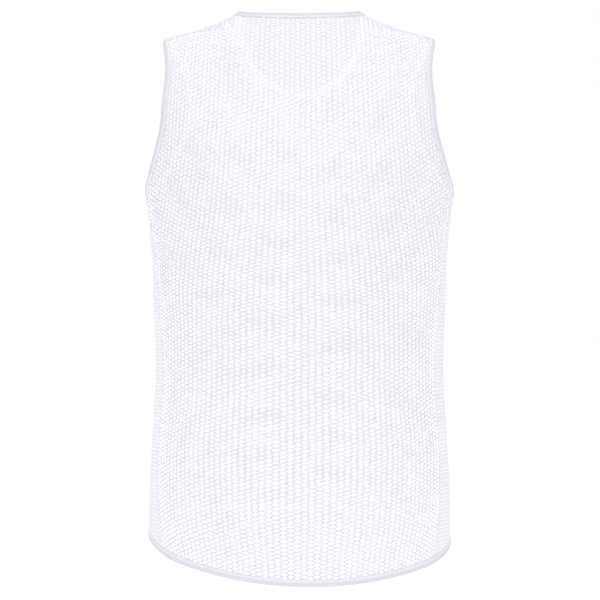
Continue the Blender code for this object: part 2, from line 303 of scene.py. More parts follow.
class finish:  # one material, built node by node
    def __init__(self, name, **constants):
        self.material = bpy.data.materials.new(name)
        self.material.use_nodes = True
        self.tree = self.material.node_tree
        self.shader = self.tree.nodes["Principled BSDF"]
        for socket, value in constants.items():
            self.shader.inputs[socket.replace("_", " ")].default_value = value

    def add(self, kind, settings, values, output=0):
        node = self.tree.nodes.new(kind)
        for key, value in settings.items():
            setattr(node, key, value)
        for key, value in values.items():
            self.feed(node.inputs[key], value)
        return wire(self, node.outputs[output])

    def feed(self, socket, value):
        if isinstance(value, wire):
            self.tree.links.new(value.socket, socket)
        else:
            socket.default_value = value

    def wearCoordinates(self):  # the cloth's own sideways and lengthways sizes, in metres
        uv = self.add("ShaderNodeUVMap", {"uv_map": "cloth"}, {})
        split = self.add("ShaderNodeSeparateXYZ", {}, {0: uv})
        return uv, split, wire(self, split.socket.node.outputs[1])

    def objectCoordinates(self):
        return self.add("ShaderNodeTexCoord", {}, {}, output="Object")

    def noise(self, vector, scale, detail=2.0):
        return self.add("ShaderNodeTexNoise", {}, {"Vector": vector, "Scale": scale, "Detail": detail})

    def ripple(self, value, period):  # 0 to 1 and back in each period
        angle = value * (fullTurn / period)
        return self.add("ShaderNodeMath", {"operation": "SINE"}, {0: angle}) * 0.5 + 0.5

    def fade(self, value, start, stop):  # 0 at the start and 1 at the stop
        return self.add("ShaderNodeMapRange", {}, {0: value, 1: start, 2: stop})

    def mixed(self, blend, factor, first, second):
        kind = {"data_type": "RGBA", "blend_type": blend}
        return self.add("ShaderNodeMix", kind, {"Factor": factor, 6: first, 7: second}, output=2)

    def tone(self, factor, dark, light):
        return self.mixed("MIX", factor, (*dark, 1), (*light, 1))

    def bump(self, height, depth):
        return self.add("ShaderNodeBump", {}, {"Height": height, "Distance": depth, "Strength": 1.0})

    def wear(self, **sockets):
        for socket, value in sockets.items():
            self.feed(self.shader.inputs[socket.replace("_", " ")], value)
        return self.material


def netFinish():
    yarn = {
        "dark": (0.785, 0.775, 0.835),
        "light": (0.875, 0.865, 0.915),
        "twist": 0.00070,  # the length of one twist of the ply
        "twistLean": 0.8,
        "twistWander": 0.0003,
        "twistDepth": 0.000012,
        "patch": 90.0,
        "grain": 2600.0,
        "shares": {"patch": 0.5, "twist": 0.35, "base": 0.1},
        "roughness": (0.68, 0.15),
    }
    cloth = finish("whiteNetYarn", Sheen_Weight=0.12, Sheen_Roughness=0.5, Specular_IOR_Level=0.35)
    uv, sideways, lengthways = cloth.wearCoordinates()
    patches = cloth.noise(cloth.objectCoordinates(), yarn["patch"])
    grain = cloth.noise(uv, yarn["grain"], 1.0)
    slant = sideways + lengthways * yarn["twistLean"] + grain * yarn["twistWander"]
    ply = cloth.ripple(slant, yarn["twist"])
    shares = yarn["shares"]
    # colour: random patches of tone, plus painted shade in the grooves of the ply twist
    toneAndPaintedShade = patches * shares["patch"] + ply * shares["twist"] + shares["base"]
    least, spread = yarn["roughness"]
    return cloth.wear(
        Base_Color=cloth.tone(toneAndPaintedShade, yarn["dark"], yarn["light"]),
        Roughness=least + grain * spread,
        Normal=cloth.bump(ply + grain * 0.5, yarn["twistDepth"]),
    )


def knitFinish():
    yarn = {
        "dark": (0.83, 0.82, 0.885),
        "light": (0.955, 0.945, 0.98),
        "rib": 0.0043,
        "wale": 0.0011,
        "course": 0.0009,
        "fuzz": 1800.0,
        "depth": 0.00012,
        # the rib and loop ripples darken the colour in the grooves: painted shade; fuzz is random tone
        "shares": {"rib": 0.7, "loop": 0.2, "fuzz": 0.1},
        "roughness": (0.7, 0.15),
    }
    cloth = finish("whiteCloseKnit", Sheen_Weight=0.12, Sheen_Roughness=0.5, Specular_IOR_Level=0.35)
    uv, sideways, lengthways = cloth.wearCoordinates()
    loops = cloth.ripple(sideways, yarn["wale"]) * cloth.ripple(lengthways, yarn["course"])
    ribs = cloth.ripple(lengthways, yarn["rib"])
    fuzz = cloth.noise(uv, yarn["fuzz"], 2.0)
    shares = yarn["shares"]
    # colour: painted shade in the rib grooves and between the loops, plus random fuzz tone
    toneAndPaintedShade = ribs * shares["rib"] + loops * shares["loop"] + fuzz * shares["fuzz"]
    least, spread = yarn["roughness"]
    return cloth.wear(
        Base_Color=cloth.tone(toneAndPaintedShade, yarn["dark"], yarn["light"]),
        Roughness=least + fuzz * spread,
        Normal=cloth.bump(loops + fuzz * 0.3, yarn["depth"]),
    )


tapeWidth = 0.0075  # across the tape in its own measure, whatever the band's real width
tapeInside = 0.02  # the inner face lies this far to the minus side


def bindingFinish(name, paintedShade):
    # the second argument darkens the whole tape colour: painted shade for a band that gets more light
    # than the others
    tape = {
        # rim is the tape's colour darkened at its folded outer edge: painted shade where the fold turns
        # away from the light
        "rim": (0.715 * paintedShade, 0.71 * paintedShade, 0.775 * paintedShade),
        "flat": (0.815 * paintedShade, 0.81 * paintedShade, 0.875 * paintedShade),
        "hidden": (0.80, 0.80, 0.83),
        "rimShadeFade": (0.0020, 0.0036),
        # the strip where the tape laps the net is darkened a little: painted shade where the two parts
        # meet
        "lapShadeFade": (0.0010, 0.0002),
        "lapPaintedShade": 0.15,
        "insideFade": (-0.004, -0.008),
        "rib": 0.0011,
        "thread": 0.0007,
        "fuzz": 1500.0,
        "depth": 0.00014,
        "weaveDark": (0.82, 0.82, 0.86),
        "weaveShare": 0.25,
        "roughness": (0.6, 0.15),
    }
    cloth = finish(name, Sheen_Weight=0.10, Sheen_Roughness=0.5, Specular_IOR_Level=0.4)
    uv, along, across = cloth.wearCoordinates()
    ribs = cloth.ripple(across, tape["rib"])
    threads = cloth.ripple(along, tape["thread"])
    fuzz = cloth.noise(uv, tape["fuzz"], 2.0)
    rimShadeMask = cloth.fade(across, *tape["rimShadeFade"])
    lap = cloth.fade(across, *tape["lapShadeFade"])
    # outside: the tape's tone with painted shade along the folded rim and along the lap edge
    outside = cloth.tone(1.0 - rimShadeMask - lap * tape["lapPaintedShade"], tape["rim"], tape["flat"])
    inside = cloth.fade(across, *tape["insideFade"])
    colour = cloth.mixed("MIX", inside, outside, (*tape["hidden"], 1))
    weave = ribs * 0.6 + threads * 0.4
    shadow = cloth.tone(weave, tape["weaveDark"], (1.0, 1.0, 1.0))
    least, spread = tape["roughness"]
    return cloth.wear(
        Base_Color=cloth.mixed("MULTIPLY", tape["weaveShare"], colour, shadow),
        Roughness=least + fuzz * spread,
        Normal=cloth.bump(weave + fuzz * 0.3, tape["depth"]),
    )


def threadFinish():
    thread = {
        "dark": (0.84, 0.83, 0.89),
        "light": (0.92, 0.91, 0.95),
        "twist": 1900.0,
        "depth": 0.00004,
        "roughness": (0.42, 0.2),
    }
    cloth = finish("sewingThread", Specular_IOR_Level=0.5)
    fibres = cloth.noise(cloth.objectCoordinates(), thread["twist"], 1.0)
    least, spread = thread["roughness"]
    return cloth.wear(
        Base_Color=cloth.tone(fibres, thread["dark"], thread["light"]),
        Roughness=least + fibres * spread,
        Normal=cloth.bump(fibres, thread["depth"]),
    )


netYarn = netFinish()
closeKnit = knitFinish()
elasticTape = bindingFinish("lavenderElasticTape", 1.0)
# the neck tape is the same tape drawn darker: painted shade, because the lamp above lights the neck
# band more
paintedShadeNeckTape = bindingFinish("lavenderNeckTapePaintedShade", 0.90)
sewingThread = threadFinish()
print("finishes made")


def vertArray(bm):
    return np.array([vert.co[:] for vert in bm.verts])


def moveVerts(bm, points):
    for vert, point in zip(bm.verts, points):
        vert.co = point


def asPiece(name, bm, material, flat=None, around=0.0):
    if flat is not None:  # the place of each point in the flat cloth, in metres
        uv = bm.loops.layers.uv.new("cloth")
        bm.verts.index_update()
        for face in bm.faces:
            places = [flat[loop.vert.index] for loop in face.loops]
            furthest = max(along for along, across in places)
            for loop, (along, across) in zip(face.loops, places):
                wrapped = around if furthest - along > around / 2 else 0.0
                loop[uv].uv = (along + wrapped, across)
    mesh = bpy.data.meshes.new(name)
    bm.to_mesh(mesh)
    bm.free()
    mesh.shade_smooth()
    piece = bpy.data.objects.new(name, mesh)
    bpy.context.scene.collection.objects.link(piece)
    mesh.materials.append(material)
    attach(piece, "root")
    return piece


# how the open net is stretched down the body: the distance between columns of holes, how soon the
# columns close up towards the sides, and the height of one hole's repeat
netColumns = ("height", "column", "narrowing", "course")
netRows = (
    (0.0300, 0.0054, 0.250, 0.00540),
    (-0.0300, 0.0057, 0.250, 0.00532),
    (-0.0950, 0.0059, 0.246, 0.00514),
    (-0.1600, 0.0062, 0.243, 0.00500),
    (-0.2260, 0.0067, 0.245, 0.00450),
    (-0.2920, 0.0075, 0.211, 0.00422),
    (-0.3570, 0.0078, 0.193, 0.00463),
    (-0.4220, 0.0078, 0.194, 0.00490),
    (-0.4880, 0.0080, 0.202, 0.00452),
    (-0.5530, 0.0078, 0.199, 0.00464),
    (-0.6000, 0.0072, 0.192, 0.00448),
    (-0.6500, 0.0070, 0.190, 0.00440),
)

net = {
    "columns": 36,  # each side of the middle
    "coursesUp": 86,  # from the level course to the shoulders
    "coursesDown": 76,
    "levelHeight": -0.300,  # where a course lies level
    "levelRise": 0.12,
    "shoulderStart": -0.110,  # above this the courses follow the columns over the shoulder
    "shoulderRise": 0.050,
    "column": 0.0076,  # in the flat cloth
    "course": 0.0046,
    "bar": 0.11,  # half the length of the bar where two yarns run together
    "open": 0.585,
    "openVary": 0.035,  # how much the holes differ, either way
    "smallest": 0.35,  # a cut cell smaller than this share stays closed
    "yarnHalf": 0.00040,  # half the yarn's thickness at its ridge
    "yarnVary": (0.85, 1.15),
    "holeStart": 0.00002,  # each hole starts this far in from its cell and then shrinks
    "snap": 0.00030,  # a point this near the outline counts as on it
    "weld": 0.000002,
    "wander": 0.00009,
    "wanderDown": 0.6,
    "seed": 11,
    "lowestTop": -0.1,  # no column starts below this height
    "mapColumns": 161,
    "mapSteps": 500,
    "mapLevels": 700,
    "pastTop": 20,  # how many steps the map runs on past the shoulder line
    "outline": {"shoulder": 40, "armhole": 160, "side": 120, "neck": 90, "hem": 120},
}

# where the courses sag or rise a little: sideways and up to the middle of each, and its size
sagColumns = ("sideways", "height", "width", "length", "sag")
sagRows = (
    (0.010, -0.070, 0.045, 0.075, 0.0048),
    (-0.070, -0.085, 0.040, 0.060, -0.0016),
    (0.150, -0.430, 0.110, 0.120, -0.0048),
    (-0.120, -0.440, 0.100, 0.110, 0.0022),
    (0.020, -0.330, 0.060, 0.050, 0.0010),
)

stretch = table(netColumns, netRows)


def courseSag(sideways, height):
    total = np.zeros(np.shape(height))
    for row in sagRows:
        sag = dict(zip(sagColumns, row))
        across = (sideways - sag["sideways"]) / sag["width"]
        above = (height - sag["height"]) / sag["length"]
        total = total + sag["sag"] * np.exp(-(across**2) - above**2)
    return total


def columnX(column, height):
    near = stretch.by("narrowing", "height", height)
    return near * np.tanh(column * stretch.by("column", "height", height) / near)


def columnTop(column):  # the height at which a column of holes reaches the shoulder line
    high = np.full(np.shape(column), bodySections[0][0])
    low = np.full(np.shape(column), net["lowestTop"])

    def beyond(height):
        return np.abs(columnX(column, height)) > figure.by("halfWidth", "height", height)

    free = ~beyond(high)
    for _ in range(40):
        middle = (high + low) / 2
        out = beyond(middle)
        high = np.where(out, middle, high)
        low = np.where(out, low, middle)
    return np.where(free, bodySections[0][0], low)


class netMap:  # between the flat net, in columns and courses, and one face of the figure
    def __init__(self, face):
        self.face = face
        self.hand = 1 if face == "back" else -1
        self.columns = np.linspace(-net["columns"] - 1, net["columns"] + 1, net["mapColumns"])
        self.steps = np.linspace(0, 1, net["mapSteps"])
        column, step = np.meshgrid(self.columns, self.steps, indexing="ij")
        height = self.heightAt(column, step)
        station, turn = self.ground(column, height)
        halfway = (turn[:, 1:] + turn[:, :-1]) / 2
        drop = bodyPoint(station[:, 1:], halfway) - bodyPoint(station[:, :-1], halfway)
        line = np.diff(bodyPoint(station, turn), axis=1)
        middle = (height[:, 1:] + height[:, :-1]) / 2
        over = np.clip((middle - net["shoulderStart"]) / net["shoulderRise"], 0, 1)
        over = over**2 * (3 - 2 * over)
        length = np.linalg.norm(line, axis=2) * over + np.linalg.norm(drop, axis=2) * (1 - over)
        courses = np.cumsum(length / stretch.by("course", "height", middle), axis=1)
        self.courses = np.concatenate([np.zeros((len(self.columns), 1)), courses], axis=1)
        for i in range(len(self.columns)):
            side = columnX(self.columns[i], net["levelHeight"])
            level = net["levelHeight"] + net["levelRise"] * side**2
            self.courses[i] -= np.interp(-level, -height[i], self.courses[i])
        sideways = self.hand * columnX(column, height)
        self.courses -= courseSag(sideways, height) / stretch.by("course", "height", height)
        self.levels = np.linspace(self.courses.min(), self.courses.max(), net["mapLevels"])
        past = net["pastTop"]
        steps = np.append(-self.steps[past], self.steps)
        rows = [np.append(2 * row[0] - row[past], row) for row in self.courses]
        self.reached = np.array([np.interp(self.levels, row, steps) for row in rows])

    def heightAt(self, column, step):
        top = columnTop(column)
        return top - (top - cut["lowest"]) * step**2

    def ground(self, column, height):
        station = figure.station("height", height)
        share = columnX(column, height) / figure.at("halfWidth", station)
        angle = np.arcsin(np.clip(share, -0.9999999, 0.9999999))
        return station, place(self.face, self.hand, angle)

    def sample(self, values, rows, across, column, other):
        i = np.clip((column - rows[0]) / (rows[1] - rows[0]), 0, len(rows) - 1.001)
        j = np.clip((other - across[0]) / (across[1] - across[0]), 0, len(across) - 1.001)
        low, left = i.astype(int), j.astype(int)
        up, right = i - low, j - left
        first = values[low, left] * (1 - right) + values[low, left + 1] * right
        second = values[low + 1, left] * (1 - right) + values[low + 1, left + 1] * right
        return first * (1 - up) + second * up

    def toBody(self, flat):  # flat points in metres to stations and turns
        column = flat[:, 0] / net["column"]
        course = flat[:, 1] / net["course"]
        step = self.sample(self.reached, self.columns, self.levels, column, course)
        return self.ground(column, self.heightAt(column, np.maximum(step, 0)))

    def toFlat(self, station, angle):  # angles from the middle, growing with the columns
        height = figure.at("height", station)
        sideways = figure.at("halfWidth", station) * np.sin(angle)
        near = stretch.by("narrowing", "height", height)
        column = near / stretch.by("column", "height", height) * np.arctanh(sideways / near)
        top = columnTop(column)
        step = np.sqrt(np.clip((top - height) / (top - cut["lowest"]), 0, 1))
        course = self.sample(self.courses, self.columns, self.steps, column, step)
        return np.stack([column * net["column"], course * net["course"]], axis=-1)


def netOutline(chart):  # the panel's edge in the flat net, all the way round
    face = chart.face
    points = net["outline"]
    ends = {}
    for side in (1, -1):
        hand = side * chart.hand
        widths = np.linspace(cut["neckHalfWidth"], cut["shoulderHalfWidth"], points["shoulder"])
        over = shoulderCurve(widths)
        arm = armholeCurve(face, np.linspace(0, armholeEnd(face), points["armhole"]))
        down = sideCurve(np.linspace(seamTop(face), seamFoot(face, hand), points["side"]))
        parts = [chart.toFlat(station, side * angle) for station, angle in (over, arm, down)]
        ends[side] = (np.concatenate(parts), side * float(down[1][-1]))
    neck = chart.toFlat(*neckCurve(face, np.linspace(-quarter, quarter, points["neck"])))
    angles = np.linspace(ends[1][1], ends[-1][1], points["hem"])
    hem = chart.toFlat(figure.station("height", hemHeight(place(face, chart.hand, angles))), angles)
    return np.concatenate([neck[1:-1], ends[1][0], hem[1:-1], ends[-1][0][::-1]])


def insideBy(points, loop):  # how far each point lies inside a closed outline
    nearest = np.full(len(points), 1e9)
    crossings = np.zeros(len(points), int)
    for start, stop in zip(loop, np.roll(loop, -1, axis=0)):
        line = stop - start
        size = float(line @ line)
        if size < 1e-14:
            continue
        rel = points - start
        share = np.clip(rel @ line / size, 0, 1)
        nearest = np.minimum(nearest, np.linalg.norm(rel - share[:, None] * line, axis=1))
        spans = (start[1] > points[:, 1]) != (stop[1] > points[:, 1])
        meets = start[0] + (points[:, 1] - start[1]) * line[0] / (line[1] or 1e-12)
        crossings += spans & (points[:, 0] < meets)
    return np.where(crossings % 2 == 1, nearest, -nearest)


def copies(bm, count):  # whole copies one after another, doubled until there are enough
    sizes = [len(bm.verts), len(bm.edges), len(bm.faces)]
    made = 1
    while made < count:
        more = min(made, count - made)
        kinds = (bm.verts, bm.edges, bm.faces)
        geom = [item for kind, size in zip(kinds, sizes) for item in kind[: more * size]]
        bmesh.ops.duplicate(bm, geom=geom)
        made += more
    return np.repeat(np.arange(count), sizes[0])


def flatNet(chart):  # whole hexagons, cut to the panel's outline
    bm = bmesh.new()
    wide, tall = net["column"], net["course"]
    bar = net["bar"] * wide
    corners = (
        (bar, tall / 2),
        (wide - bar, 0),
        (bar, -tall / 2),
        (-bar, -tall / 2),
        (bar - wide, 0),
        (-bar, tall / 2),
    )
    bm.faces.new([bm.verts.new((x, y, 0)) for x, y in corners][::-1])
    down = net["coursesUp"] + net["coursesDown"]
    cell = copies(bm, down * (2 * net["columns"] + 1))
    column = cell // down - net["columns"]
    course = cell % down - net["coursesUp"] + column % 2 * 0.5
    shift = np.stack([column * wide, course * tall, cell * 0], axis=-1)
    moveVerts(bm, vertArray(bm) + shift)
    bmesh.ops.remove_doubles(bm, verts=bm.verts[:], dist=tall / 50)
    draw = random.Random(net["seed"])
    for vert in bm.verts:
        vert.co.x += draw.uniform(-1, 1) * net["wander"]
        vert.co.y += draw.uniform(-1, 1) * net["wander"] * net["wanderDown"]
    loop = netOutline(chart)
    inside = insideBy(vertArray(bm)[:, :2], loop)
    depth = bm.verts.layers.float.new("inside")
    for vert, value in zip(bm.verts, inside):
        vert[depth] = 0.0 if abs(value) < net["snap"] else value
    for edge in bm.edges[:]:
        near, far = edge.verts
        if near[depth] * far[depth] < 0:
            share = near[depth] / (near[depth] - far[depth])
            middle = bmesh.utils.edge_split(edge, near, share)[1]
            middle[depth] = 0.0
    for face in bm.faces[:]:
        signs = [vert[depth] for vert in face.verts]
        if min(signs) < 0 < max(signs):
            on = [vert for vert in face.verts if vert[depth] == 0.0]
            if len(on) == 2:
                bmesh.utils.face_split(face, on[0], on[1])
    outside = [face for face in bm.faces if sum(vert[depth] for vert in face.verts) <= 0]
    bmesh.ops.delete(bm, geom=outside, context="FACES")
    bm.normal_update()
    return bm


def openHoles(bm):
    draw = random.Random(net["seed"] + 1)
    rise = bm.verts.layers.float.new("rise")
    outer = set(bm.verts)
    whole = net["column"] * net["course"]
    cells = [face for face in bm.faces if face.calc_area() > whole * net["smallest"]]
    bmesh.ops.inset_individual(bm, faces=cells, thickness=net["holeStart"])
    for cell in cells:
        centre = cell.calc_center_median()
        size = net["open"] + draw.uniform(-1, 1) * net["openVary"]
        for vert in cell.verts:
            vert.co = centre + (vert.co - centre) * size
    bmesh.ops.delete(bm, geom=cells, context="FACES")
    for vert in bm.verts:
        vert[rise] = net["yarnHalf"] * draw.uniform(*net["yarnVary"]) if vert in outer else 0.0


def thickenNet(bm):  # yarn with a ridge above and below, meeting at the holes
    rise = bm.verts.layers.float["rise"]
    made = bmesh.ops.extrude_face_region(bm, geom=bm.faces[:])["geom"]
    above = {item for item in made if isinstance(item, bmesh.types.BMVert)}
    for vert in bm.verts:
        vert.co.z = vert[rise] if vert in above else -vert[rise]
    bmesh.ops.remove_doubles(bm, verts=bm.verts[:], dist=net["weld"])
    bmesh.ops.recalc_face_normals(bm, faces=bm.faces[:])


def netPanel(face, node):
    chart = netMap(face)
    bm = flatNet(chart)
    openHoles(bm)
    thickenNet(bm)
    flat = vertArray(bm)
    station, turn = chart.toBody(flat[:, :2])
    moveVerts(bm, clothPoint(station, turn, flat[:, 2]))
    piece = asPiece(face + "_net", bm, netYarn, flat[:, :2])
    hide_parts(node)
    print(piece.name, len(piece.data.polygons), "faces")
    return piece


backNet = netPanel("back", "back_panel")
frontNet = netPanel("front", "front_panel")


knit = {  # the close-knit sides
    "across": 16,
    "down": 620,
    "rib": 0.0043,
    "ribDepth": 0.00022,
    "thickness": 0.0011,
    "middleHeight": -0.4,
    "rounds": 14,
}


def sidePanel(hand, name, node):
    bm = bmesh.new()
    bmesh.ops.create_grid(bm, x_segments=knit["across"], y_segments=knit["down"], size=0.5)
    grid = vertArray(bm)
    share, down = grid[:, 0] + 0.5, 0.5 - grid[:, 1]
    height = np.full(len(grid), knit["middleHeight"])
    for _ in range(knit["rounds"]):  # the seams' turns and the heights settle together
        behind = place("back", hand, sideCurve(height)[1])
        ahead = place("front", hand, sideCurve(height)[1])
        if hand == -1:
            behind = behind + fullTurn
        turn = behind + (ahead - behind) * share
        height = armholeFoot(turn) * (1 - down) + hemHeight(turn) * down
    station = figure.station("height", height)
    length = -height
    lift = knit["ribDepth"] * np.cos(fullTurn * length / knit["rib"])  # fine ribs crosswise
    moveVerts(bm, clothPoint(station, turn, lift))
    bmesh.ops.recalc_face_normals(bm, faces=bm.faces[:])
    flat = np.stack([(turn - quarter) * creaseRadius, length], axis=-1)
    piece = asPiece(name, bm, closeKnit, flat)
    wall = piece.modifiers.new("thickness", "SOLIDIFY")
    wall.thickness = knit["thickness"]
    wall.offset = 0
    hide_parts(node)
    print(piece.name, len(piece.data.polygons), "faces")
    return piece


leftKnit = sidePanel(1, "side_knit_left", "side_panel_left")
rightKnit = sidePanel(-1, "side_knit_right", "side_panel_right")


def evenly(station, turn, count, closed):  # the same path with points at even distances
    points = clothPoint(station, turn)
    if closed:
        points = np.concatenate([points, points[:1]])
        station = np.append(station, station[0])
        turn = np.append(turn, turn[-1] + (turn[0] - turn[-1] + math.pi) % fullTurn - math.pi)
    length = np.concatenate([[0], np.cumsum(np.linalg.norm(np.diff(points, axis=0), axis=1))])
    reached = np.linspace(0, length[-1], count, endpoint=not closed)
    return np.interp(reached, length, station), np.interp(reached, length, turn), length[-1]


class path:  # a line on the cloth, with its length and its directions
    def __init__(self, station, turn, spacing, side, closed=True):
        turn = np.unwrap(turn)
        length = evenly(station, turn, 400, closed)[2]
        self.count = int(round(length / spacing))
        self.station, self.turn, self.length = evenly(station, turn, self.count, closed)
        self.closed = closed
        self.points = clothPoint(self.station, self.turn)
        normal = outward(self.station, self.turn)
        if closed:
            tangent = np.roll(self.points, -1, axis=0) - np.roll(self.points, 1, axis=0)
        else:
            tangent = np.gradient(self.points, axis=0)
        self.tangent = self.smooth(unit(tangent))
        self.away = unit(side * np.cross(self.tangent, self.smooth(normal)))
        self.normal = unit(side * np.cross(self.away, self.tangent))

    def smooth(self, vectors, rounds=6):
        for _ in range(rounds):
            before, after = np.roll(vectors, 1, axis=0), np.roll(vectors, -1, axis=0)
            if not self.closed:
                before[0], after[-1] = vectors[0], vectors[-1]
            vectors = unit(before + 2 * vectors + after)
        return vectors

    def at(self, index, away, out):
        away, out = np.asarray(away)[..., None], np.asarray(out)[..., None]
        return self.points[index] + away * self.away[index] + out * self.normal[index]


def bandProfile(band, angle):  # across and out, for an angle round the folded tape
    lap, width = band["lap"], band["width"]
    half = (lap + width) / 2
    flatness, bulge = band["roundness"]
    across = np.sign(np.cos(angle)) * np.abs(np.cos(angle)) ** flatness * half + (width - lap) / 2
    rim = np.clip((across - width + band["rim"]) / band["rim"], 0, 1)
    thick = band["thick"] / 2 * (1 + band["rimSwell"] * np.sin(rim * math.pi))
    groove = band["groove"] * np.exp(-(((across - band["stitch"]) / band["grooveWidth"]) ** 2))
    return across, np.sign(np.sin(angle)) * np.abs(np.sin(angle)) ** bulge * (thick - groove)


def foldedBand(name, node, ring, band, tape):
    bm = bmesh.new()
    turnRadius, tubeRadius = 1.0, 0.1  # of the plain ring that becomes the band
    stand = Matrix.Translation((turnRadius, 0, 0)) @ Matrix.Rotation(quarter, 4, "X")
    bmesh.ops.create_circle(bm, segments=band["sides"], radius=tubeRadius, matrix=stand)
    bmesh.ops.spin(
        bm,
        geom=bm.verts[:] + bm.edges[:],
        cent=(0, 0, 0),
        axis=(0, 0, 1),
        angle=fullTurn,
        steps=ring.count,
        use_merge=True,
    )
    grid = vertArray(bm)
    steps = np.arctan2(grid[:, 1], grid[:, 0]) / fullTurn * ring.count
    index = np.rint(steps).astype(int) % ring.count
    angle = np.arctan2(grid[:, 2], np.hypot(grid[:, 0], grid[:, 1]) - turnRadius)
    across, out = bandProfile(band, angle)
    flatAcross = across * tapeWidth / band["width"] - np.where(angle < -0.01, tapeInside, 0.0)
    travel = index * ring.length / ring.count
    pull = band["scallop"] * (0.5 + 0.5 * np.cos(fullTurn * travel / band["scallopStep"]))
    across = across + pull * np.clip(-across / band["lap"], 0, 1)
    moveVerts(bm, ring.at(index, across, out))
    bmesh.ops.recalc_face_normals(bm, faces=bm.faces[:])
    flat = np.stack([travel, flatAcross], axis=-1)
    piece = asPiece(name, bm, tape, flat, ring.length)
    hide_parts(node)
    print(piece.name, len(piece.data.polygons), "faces")
    return piece


band = {
    "neck": {"width": 0.0084, "lap": 0.0010, "thick": 0.0021, "stitch": 0.0012},
    "armhole": {"width": 0.0078, "lap": 0.0010, "thick": 0.0022, "stitch": 0.0014},
    "hem": {"width": 0.0078, "lap": 0.0010, "thick": 0.0022, "stitch": 0.0022},
}
for each in band.values():
    each.update(
        {
            "sides": 22,
            "rim": 0.0030,
            "rimSwell": 0.22,
            "roundness": (0.55, 0.5),
            "groove": 0.00022,
            "grooveWidth": 0.0006,
            "scallop": 0.0007,
            "scallopStep": 0.0050,
            "spacing": 0.00115,
        }
    )
edgePoints = {"neck": 240, "armhole": 240, "armholeFoot": 60, "hem": 900}


def joined(parts):
    return np.concatenate([part[0] for part in parts]), np.concatenate([part[1] for part in parts])


def neckRing():
    angles = np.linspace(quarter, -quarter, edgePoints["neck"])[:-1]
    ahead, angleAhead = neckCurve("front", angles)
    behind, angleBehind = neckCurve("back", -angles)
    return joined([(ahead, math.pi - angleAhead), (behind, angleBehind)])


def armholeRing(hand):
    parts = []
    end = armholeEnd("back")
    station, angle = armholeCurve("back", np.linspace(0, end, edgePoints["armhole"])[:-1])
    parts.append((station, place("back", hand, angle)))
    endFront = armholeEnd("front")
    first = place("back", hand, float(armholeCurve("back", np.array(end))[1]))
    last = place("front", hand, float(armholeCurve("front", np.array(endFront))[1]))
    if hand == -1:
        last = last - fullTurn
    turns = np.linspace(first, last, edgePoints["armholeFoot"])[:-1]
    parts.append((figure.station("height", armholeFoot(turns)), turns))
    station, angle = armholeCurve("front", np.linspace(endFront, 0, edgePoints["armhole"])[:-1])
    turn = place("front", hand, angle)
    parts.append((station, turn - fullTurn if hand == -1 else turn))
    return joined(parts)


def hemRing():
    turns = np.linspace(0, fullTurn, edgePoints["hem"])[:-1]
    return figure.station("height", hemHeight(turns)), turns


spacing = band["neck"]["spacing"]
neckPath = path(*neckRing(), spacing, 1)
armPaths = {hand: path(*armholeRing(hand), spacing, hand) for hand in (1, -1)}
hemPath = path(*hemRing(), spacing, -1)

neckBand = foldedBand("neck_band", "neck_binding", neckPath, band["neck"], paintedShadeNeckTape)
for hand, side in ((1, "left"), (-1, "right")):
    node = "armhole_binding_" + side
    foldedBand("armhole_band_" + side, node, armPaths[hand], band["armhole"], elasticTape)
hemBand = foldedBand("hem_band", "hem_binding", hemPath, band["hem"], elasticTape)


seam = {
    "width": 0.0030,
    "thick": 0.0011,
    "spacing": 0.0012,
    "sides": 10,
    "wave": 0.12,
    "waveStep": 1.9,
    "points": {"side": 300, "shoulder": 120},
}

stitch = {
    "length": 0.0030,
    "gap": 0.0050,
    "thick": 0.00050,
    "crossStep": 0.0021,
    "crossLength": 0.0033,
    "crossTurn": 0.6,
    "crossSink": 0.42,
}


def seamBand(name, line):
    bm = bmesh.new()
    bmesh.ops.create_cone(
        bm, cap_ends=True, cap_tris=False, segments=seam["sides"], radius1=1, radius2=1, depth=1
    )
    uprights = [edge for edge in bm.edges if abs(edge.verts[0].co.z - edge.verts[1].co.z) > 0.5]
    bmesh.ops.subdivide_edges(bm, edges=uprights, cuts=line.count - 2, use_grid_fill=True)
    grid = vertArray(bm)
    index = np.clip(np.rint((grid[:, 2] + 0.5) * (line.count - 1)).astype(int), 0, line.count - 1)
    wave = 1 + seam["wave"] * np.sin(index * seam["waveStep"])
    points = line.at(index, grid[:, 0] * seam["width"] / 2 * wave, grid[:, 1] * seam["thick"] / 2)
    moveVerts(bm, points)
    bmesh.ops.recalc_face_normals(bm, faces=bm.faces[:])
    flat = np.stack([index * line.length / line.count, grid[:, 0] * seam["width"] / 3], axis=-1)
    return asPiece(name, bm, sewingThread, flat)


def stitches(name, spots, along, out, length):  # one small bead of thread at each spot
    ball = bmesh.new()
    bmesh.ops.create_uvsphere(ball, u_segments=6, v_segments=5, radius=0.5)
    bm = ball.copy()  # a copy holds its points in an unbroken row
    ball.free()
    which = copies(bm, len(spots))
    bead = vertArray(bm)
    side = np.cross(out, along)
    points = spots[which] + bead[:, 2:] * length * along[which]
    points += stitch["thick"] * (bead[:, :1] * side[which] + bead[:, 1:2] * out[which])
    moveVerts(bm, points)
    return asPiece(name, bm, sewingThread)


def bindingStitches(name, line, edge):
    count = int(line.length / stitch["gap"])
    i = np.tile(np.rint(np.arange(count) * line.count / count).astype(int) % line.count, 2)
    out = np.repeat([1, -1], count) * (edge["thick"] / 2 - edge["groove"] * 0.5)
    spots = line.at(i, np.full(len(i), edge["stitch"]), out)
    return stitches(name, spots, line.tangent[i], line.normal[i], stitch["length"])


